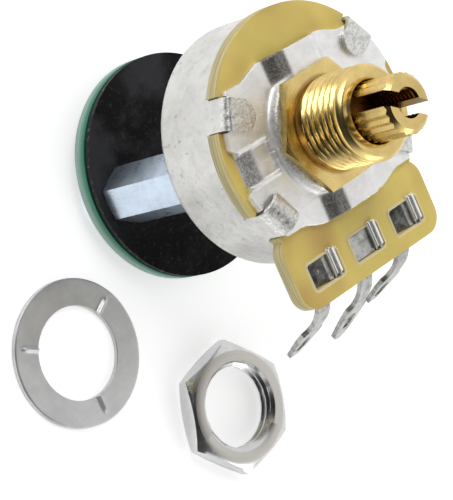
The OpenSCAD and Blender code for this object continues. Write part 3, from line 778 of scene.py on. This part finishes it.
def build_bushing(shape):
    """Bushing: thin hexagon, plain neck, thread, smooth ring in front and plain bore."""
    settings = sizes()
    crest = settings.thread_radius - 0.01
    root = crest - settings.thread_depth
    bore = BUSHING_BORE
    neck = BUSHING_NECK
    front = BUSHING_HIGH.z
    rear = BUSHING_LOW.z
    hexagon_back = -BUSHING_HEX_H
    stake_front = rear + BUSHING_STAKE_H
    face_radius = crest - 0.45
    thread_end = front - 0.75
    fade_length = 0.25
    chamfer_start = BUSHING_FLATS / 2 + 0.12
    chamfer_fall = 0.3
    thread_rows = steps_between(THREAD_START, thread_end, 96)

    def profile(turn):
        rim = hexagon_radius(BUSHING_FLATS, turn - BUSHING_TURN)
        points = [(bore, front - 0.25), (bore + 0.12, front - 0.06), (bore + 0.2, front),
                  (face_radius - 0.1, front), (face_radius, front - 0.05),
                  (crest - 0.06, front - 0.42), (crest, front - 0.5), (crest, thread_end + 0.18),
                  (crest - 0.3, thread_end + 0.12), (root, thread_end + 0.05)]
        for height in reversed(thread_rows):
            wave = thread_wave(height - settings.thread_phase, turn, settings.thread_pitch)
            fade = min(1.0, (height - THREAD_START) / fade_length)
            points.append((neck + (root + (crest - root) * wave - neck) * fade, height))
        points += [(neck, 0.12), (neck + 0.03, 0.03), (neck + 0.1, 0.0)]
        for share in (0.0, 0.35, 0.7, 1.0):
            radius = min(rim, chamfer_start + (rim - chamfer_start) * share)
            points.append((radius, -chamfer_fall * max(0.0, radius - chamfer_start)))
        edge_z = -chamfer_fall * max(0.0, rim - chamfer_start)
        points += [(rim, edge_z - 0.05), (rim, hexagon_back + 0.05), (rim - 0.05, hexagon_back),
                   (BUSHING_SPIGOT, hexagon_back), (BUSHING_SPIGOT, stake_front),
                   (BUSHING_STAKE, stake_front), (BUSHING_STAKE - 0.05, rear), (bore, rear)]
        return points

    turned_skin(shape, 180, profile, BUSHING_TURN)


class OBJECT_OT_pot_bushing(PotentiometerStep):
    """Build the threaded brass bushing"""
    bl_idname = "object.pot_bushing"
    bl_label = "Bushing"

    def make(self, context):
        brass = turned_brass("turned brass", colours().brass, neck_painted_shade)
        mesh_object("threaded_bushing", build_bushing, brass, "housing", ("bushing",))


def build_nut(shape):
    """Hexagonal nut with both faces chamfered and a threaded bore."""
    settings = sizes()
    low = NUT_LOW.z
    high = NUT_HIGH.z
    root = settings.thread_radius + 0.02
    crest = root - settings.thread_depth
    chamfer_start = NUT_FLATS / 2 - NUT_FACE_INSET
    chamfer_fall = 0.5
    mouth = 0.35
    edge = 0.06
    thread_rows = steps_between(low + mouth, high - mouth, 40)

    def profile(turn):
        rim = hexagon_radius(NUT_FLATS, turn - NUT_TURN)
        half = chamfer_start + (rim - chamfer_start) * 0.5
        drop = chamfer_fall * max(0.0, rim - chamfer_start)
        half_drop = chamfer_fall * max(0.0, half - chamfer_start)
        points = [(root + 0.16, high), (chamfer_start, high), (half, high - half_drop),
                  (rim - 0.03, high - drop), (rim, high - drop - edge), (rim, low + drop + edge),
                  (rim - 0.03, low + drop), (half, low + half_drop), (chamfer_start, low), (root + 0.1, low)]
        for height in thread_rows:
            wave = thread_wave(height, turn, settings.thread_pitch)
            points.append((root - (root - crest) * wave, height))
        return points

    turned_skin(shape, 144, profile, NUT_TURN, (NUT_LOW + NUT_HIGH) / 2)


def build_washer(shape):
    """Thin washer with a turned-over outer edge and three ribs pressed up from its bore."""
    low = WASHER_LOW.z
    top = low + WASHER_THICK
    outer = (WASHER_HIGH.x - WASHER_LOW.x) / 2
    bore = sizes().thread_radius + 0.1
    rib_turns = [math.radians(angle) for angle in (30, 150, 270)]
    rib_length = 2.2
    rib_rise = 0.26
    rib_half_w = 0.2
    rib_fade = 0.8

    def rib_height(radius, turn):
        height = 0.0
        for rib in rib_turns:
            across = radius * math.sin(turn - rib)
            if math.cos(turn - rib) > 0:
                along = ramp((bore + rib_length - radius) / rib_fade)
                height += rib_rise * along * math.exp(-(across / rib_half_w) ** 2)
        return height

    def profile(turn):
        points = [(bore, low + 0.06), (bore, top - 0.06 + rib_height(bore, turn) * 0.8)]
        for radius in steps_between(bore + 0.06, outer - 0.12, 14):
            points.append((radius, top + rib_height(radius, turn)))
        points += [(outer - 0.03, top - 0.05), (outer, top - 0.16), (outer, low + 0.08),
                   (outer - 0.06, low), (bore + 0.06, low)]
        return points

    turned_skin(shape, 360, profile, 0.0, (WASHER_LOW + WASHER_HIGH) / 2)
    bmesh.ops.reverse_faces(shape, faces=shape.faces)


def build_hole_thread(shape):
    """Thread inside the shaft's end hole, in two halves that the split keeps apart."""
    pitch = 0.5
    depth = 0.12
    half_slot = math.asin(SLOT_W / 2 / HOLE_R) + 0.06
    heights = steps_between(SHAFT_TIP - HOLE_DEPTH + 0.3, SHAFT_TIP - 0.25, 60)
    for side in (0, math.pi):
        columns = []
        for turn in steps_between(SLOT_TURN + side + half_slot, SLOT_TURN + side + math.pi - half_slot, 24):
            column = []
            for height in heights:
                radius = HOLE_R - 0.02 - depth * thread_wave(height, turn, pitch)
                column.append(new_vertex(shape, radius * math.cos(turn), radius * math.sin(turn), height))
            columns.append(column)
        for before, after in zip(columns, columns[1:]):
            for row in range(len(heights) - 1):
                shape.faces.new((before[row], before[row + 1], after[row + 1], after[row]))


class OBJECT_OT_pot_shaft(PotentiometerStep):
    """Dress the split shaft and cut the thread in its end hole"""
    bl_idname = "object.pot_shaft"
    bl_label = "Shaft"

    def make(self, context):
        brass = turned_brass("shaft brass", shade(colours().brass, 0.9), slot_painted_shade)
        dress("shaft", brass)
        soften("shaft", 0.04)
        mesh_object("end_hole_thread", build_hole_thread, brass, "turning_shaft")


def ramp(value):
    """Smooth step from 0 to 1."""
    value = min(1.0, max(0.0, value))
    return value * value * (3 - 2 * value)


def plate_height(x, y):
    """Front surface of the stamped plate: raised middle, boss round the bushing, coined channel."""
    steep_part = ramp((x + 4.1) / 1.7)
    slow_part = ramp((x + 3.6) / 2.9)
    left_step = 0.55 * steep_part + 0.45 * slow_part
    right_step = ramp((4.15 - x) / 1.5)
    boss = ramp((BOSS_R - math.hypot(x, y)) / 0.85)
    height = WING_TOP + (PLATE_TOP - WING_TOP) * max(min(left_step, right_step), boss)
    along_channel = ramp((CHANNEL_END_X - x) / 0.3)
    if along_channel > 0:
        depth = 0.2 + 0.45 * ramp((-8.6 - x) / 3.2)
        height -= depth * along_channel * ramp((CHANNEL_HALF_W - abs(y)) / 0.22)
        lip = math.exp(-((abs(y) - CHANNEL_LIP_Y) / 0.13) ** 2)
        height += 0.17 * lip * along_channel * ramp((11.25 + x) / 0.2)
    return height


def plate_side(x):
    """Half width of the plate, which draws in from its middle to its wings."""
    return PLATE_HALF_W - WING_INSET * ramp((abs(x) - WING_START) / WING_RUN)


def plate_edge(turn):
    """Distance from the shaft's axis to the plate's cut edge in the given direction."""
    direction = Vector((math.cos(turn), math.sin(turn)))
    reach = PLATE_R
    for place in TAB_PLACES:
        across = math.sin(turn - place)
        along = math.cos(turn - place)
        if along > 0 and abs(across) * reach < TAB_NOTCH_HALF_W:
            reach = min(reach, TAB_NOTCH_R / along)
    # Each end has a bay in its middle
    past_bay = abs(direction.y) * reach - BAY_HALF_W
    if past_bay < BAY_CORNER:
        bay = PLATE_END + BAY_DEPTH * ramp(past_bay / BAY_CORNER)
        reach = min(reach, bay / abs(direction.x))
    # Halving finds where the direction crosses a long side
    low = 5.0
    for _ in range(24):
        middle = (low + reach) / 2
        point = direction * middle
        if abs(point.y) > plate_side(point.x):
            reach = middle
        elif abs(direction.y) * reach <= plate_side(direction.x * reach):
            break
        else:
            low = middle
    shear_marks = 0.03 * math.sin(turn * 57) * math.sin(turn * 23 + 1)
    return reach + shear_marks


def build_plate(shape):
    """Stamped plate with soft bends, worked from its outline and a grid of inner points."""
    edge_steps = 720
    bore_steps = 96
    spacing = 0.16
    edge_round = 0.07
    edge_drop = 0.06
    edge = [plate_edge(TAU * step / edge_steps) for step in range(edge_steps)]
    points = []
    segments = []
    for reaches in (edge, [reach - edge_round for reach in edge], [BUSHING_SPIGOT] * bore_steps):
        first = len(points)
        count = len(reaches)
        for step, reach in enumerate(reaches):
            turn = TAU * step / count
            points.append(Vector((math.cos(turn), math.sin(turn))) * reach)
            segments.append((first + step, first + (step + 1) % count))
    columns = math.ceil(PLATE_R / spacing)
    rows = math.ceil(PLATE_HALF_W / spacing)
    for column in range(-columns, columns + 1):
        for row in range(-rows, rows + 1):
            spot = Vector(((column + 0.5 * (row % 2)) * spacing, row * spacing))
            reach = edge[round(math.atan2(spot.y, spot.x) % TAU / TAU * edge_steps) % edge_steps]
            if BUSHING_SPIGOT + 0.1 < spot.length < reach - 0.15:
                points.append(spot)
    inside_outline = 2
    flat, _, faces, origins, _, _ = delaunay_2d_cdt(points, segments, [], inside_outline, 1e-6)
    outer = {index for index, sources in enumerate(origins) if any(source < edge_steps for source in sources)}
    front = []
    back = []
    for index, spot in enumerate(flat):
        height = plate_height(spot.x, spot.y)
        drop = edge_drop if index in outer else 0.0
        front.append(new_vertex(shape, spot.x, spot.y, height - drop))
        back.append(new_vertex(shape, spot.x, spot.y, max(height - PLATE_T, BOARD_HIGH.z + 0.01)))
    sides = []
    for face in faces:
        if sum(flat[index].length for index in face) / len(face) < BUSHING_SPIGOT:
            continue
        shape.faces.new([front[index] for index in face])
        shape.faces.new([back[index] for index in reversed(face)])
        sides += zip(face, face[1:] + face[:1])
    shared = set(sides)
    for start, end in sides:
        if (end, start) not in shared:
            shape.faces.new((front[end], front[start], back[start], back[end]))
    loose = [vertex for vertex in shape.verts if not vertex.link_faces]
    bmesh.ops.delete(shape, geom=loose, context="VERTS")


def build_window_rims(shape):
    """Pale lip that the punch leaves round each terminal window of the board."""
    corner_r = 0.25
    half_x = WINDOW_SIZE[0] / 2 - corner_r
    half_y = WINDOW_SIZE[1] / 2 - corner_r
    for terminal in (-1, 0, 1):
        loops = []
        for grow, height in ((0.0, -0.1), (0.03, 0.08), (0.17, 0.1), (0.32, 0.0)):
            loop = []
            for quarter, (side_x, side_y) in enumerate(CORNER_SIDES):
                for step in range(4):
                    turn = (quarter + step / 3) * math.pi / 2
                    x = terminal * TERMINAL_PITCH + side_x * half_x + (corner_r + grow) * math.cos(turn)
                    y = WINDOW_Y + side_y * half_y + (corner_r + grow) * math.sin(turn)
                    uneven = 0.03 * math.sin(7 * x + 3 * terminal) * math.sin(5 * y) if height > 0 else 0.0
                    loop.append(new_vertex(shape, x, y, BOARD_HIGH.z + height + uneven))
            loops.append(loop)
        join_loops(shape, loops, closed=True)


def build_leg_ends(shape):
    """Clinched ends of the terminal legs: two rounded ridges at the right of each window."""
    front = BOARD_HIGH.z
    for terminal in (-1, 0, 1):
        for left, right, top in ((0.76, 1.16, 0.34), (1.2, 1.8, 0.42)):
            loops = []
            for y, drop in ((-1.0, 0.14), (-0.9, 0.0), (0.9, 0.0), (1.62, 0.03), (1.74, 0.16)):
                section = []
                for step in range(9):
                    turn = math.pi * step / 8
                    across = (left + right) / 2 - (right - left) / 2 * math.cos(turn)
                    section.append((across, front + top - drop - 0.16 * (1 - math.sin(turn))))
                section += [(right, front - 0.4), (left, front - 0.4)]
                loops.append([new_vertex(shape, terminal * TERMINAL_PITCH + across, WINDOW_Y + y, rise)
                              for across, rise in section])
            shape.faces.new(loops[0])
            shape.faces.new(reversed(loops[-1]))
            join_loops(shape, loops)


class OBJECT_OT_pot_sheet_metal(PotentiometerStep):
    """Form the mounting plate and dress the can and the terminals"""
    bl_idname = "object.pot_sheet_metal"
    bl_label = "Plate, can and terminals"

    def make(self, context):
        plate_metal = stamped_finish_and_shade("bright plate", colours().bright_zinc)
        mesh_object("stamped_plate", build_plate, plate_metal, "housing",
                    ("mounting_plate",))
        dress("can", rough_tin("dull tin", colours().tin_plate, worn_above=WING_TOP - 0.45))
        soften("can", sizes().soft_edge)
        terminal_metal = rough_tin("terminal tin", colours().terminal_tin, cloud_tone=0.45, dent_mm=0.12,
                                   cloud_scale=1100.0)
        for name in ("terminal_left", "terminal_middle", "terminal_right"):
            dress(name, terminal_metal)
            soften(name, sizes().soft_edge)
        leg_metal = plated_metal("leg tin", shade(colours().tin_plate, 1.35), rough=0.3,
                                 blotch_scale=900.0, dark=0.85, rough_span=0.14)
        mesh_object("leg_ends", build_leg_ends, leg_metal, "housing")


class OBJECT_OT_pot_boards(PotentiometerStep):
    """Dress the element board, its prints, the insulator and the circuit board"""
    bl_idname = "object.pot_boards"
    bl_label = "Boards"

    def make(self, context):
        board_span = (BOARD_LOW.z, BOARD_HIGH.z)
        circuit_span = (CIRCUIT_LOW.z + 0.3, CIRCUIT_HIGH.z - 0.1)
        lip_colour = (0.86, 0.74, 0.42)
        dress("element_board", laminate(
            "phenolic", colours().phenolic, (0.86, 0.72, 0.32), (0.72, 0.64, 0.38), board_span,
            rough=0.46, layer_tone=0.72, cloud_colour=colours().phenolic_cloud))
        lip = laminate(
            "punched lip", lip_colour, lip_colour, lip_colour, board_span, rough=0.45, layer_tone=0.9)
        mesh_object("window_rims", build_window_rims, lip, "housing")
        dress("circuit_board", laminate(
            "green laminate", colours().mask_green, (0.03, 0.24, 0.14), (0.42, 0.62, 0.53), circuit_span,
            rough=0.22, layer_tone=0.8))
        dress("insulator_disc", speckled_fibre("black fibre", colours().fibre))
        dress("spacer_washers", speckled_fibre("spacer fibre", colours().fibre))
        dress("resistive_track", moulded("carbon print", (0.02, 0.02, 0.022), rough=0.5))
        silver = plated_metal("silver print", (0.7, 0.7, 0.7), rough=0.4, blotch_scale=800.0)
        dress("collector_ring", silver)
        dress("conductor_prints", silver)
        dress("chip_resistors", moulded("chip coating", (0.02, 0.02, 0.022), rough=0.3))
        dress("solder_joints", plated_metal("solder", (0.75, 0.75, 0.76), rough=0.2, blotch_scale=900.0,
                                            dark=0.85))


class OBJECT_OT_pot_hardware(PotentiometerStep):
    """Dress the pillars, the screws, the nut and the washer"""
    bl_idname = "object.pot_hardware"
    bl_label = "Pillars and fasteners"

    def make(self, context):
        zinc = plated_metal("blue zinc", colours().blue_zinc, rough=0.24, blotch_scale=700.0, dark=0.88,
                            scratch=0.28, relief_mm=0.008, metallic=0.94)
        for name in ("pillar_left", "pillar_right", "can_screws", "board_screws"):
            dress(name, zinc)
        nut_metal = nut_finish("bright nickel", shade(colours().nickel, 1.12))
        mesh_object("threaded_nut", build_nut, nut_metal, "housing", ("mounting_nut",))
        washer_metal = plated_metal("satin nickel", shade(colours().nickel, 1.1), rough=0.26,
                                    blotch_scale=260.0, rough_span=0.16, metallic=0.7)
        mesh_object("pressed_washer", build_washer, washer_metal, "housing",
                    ("flat_washer",))


class OBJECT_OT_pot_moving(PotentiometerStep):
    """Dress the rotor, the wiper and the retaining ring"""
    bl_idname = "object.pot_moving"
    bl_label = "Rotor, wiper and ring"

    def make(self, context):
        dress("rotor", moulded("nylon", (0.78, 0.75, 0.66), rough=0.4))
        dress("wiper", turned_brass("spring bronze", (0.72, 0.48, 0.26)))
        dress("retaining_ring", plated_metal("spring steel", (0.4, 0.4, 0.42), rough=0.3,
                                             blotch_scale=500.0))


STEPS = (OBJECT_OT_pot_stage, OBJECT_OT_pot_bushing, OBJECT_OT_pot_shaft, OBJECT_OT_pot_sheet_metal,
         OBJECT_OT_pot_boards, OBJECT_OT_pot_hardware, OBJECT_OT_pot_moving)


class VIEW3D_PT_potentiometer(Panel):
    """Lists the dressing steps in the sidebar"""
    bl_idname = "VIEW3D_PT_potentiometer"
    bl_label = "Potentiometer"
    bl_space_type = "VIEW_3D"
    bl_region_type = "UI"
    bl_category = "Potentiometer"

    def draw(self, context):
        for group in SETTINGS:
            settings = getattr(context.scene, group)
            column = self.layout.column(align=True)
            for label in settings.__annotations__:
                column.prop(settings, label)
        for step in STEPS:
            self.layout.operator(step.bl_idname)


SETTINGS = {"pot_sizes": PotentiometerSizes, "pot_colours": PotentiometerColours,
            "pot_camera": PotentiometerCamera}


def register():
    """Adds the settings, the steps and the panel to Blender."""
    for kind in (*SETTINGS.values(), *STEPS, VIEW3D_PT_potentiometer):
        bpy.utils.register_class(kind)
    for label, kind in SETTINGS.items():
        setattr(bpy.types.Scene, label, PointerProperty(type=kind))


def unregister():
    """Takes them out again."""
    for label in SETTINGS:
        delattr(bpy.types.Scene, label)
    for kind in (VIEW3D_PT_potentiometer, *reversed(STEPS), *reversed(list(SETTINGS.values()))):
        bpy.utils.unregister_class(kind)


def main():
    """Runs every step in order."""
    register()
    for step in STEPS:
        category, name = step.bl_idname.split(".")
        getattr(getattr(bpy.ops, category), name)()


if __name__ == "__main__":
    main()
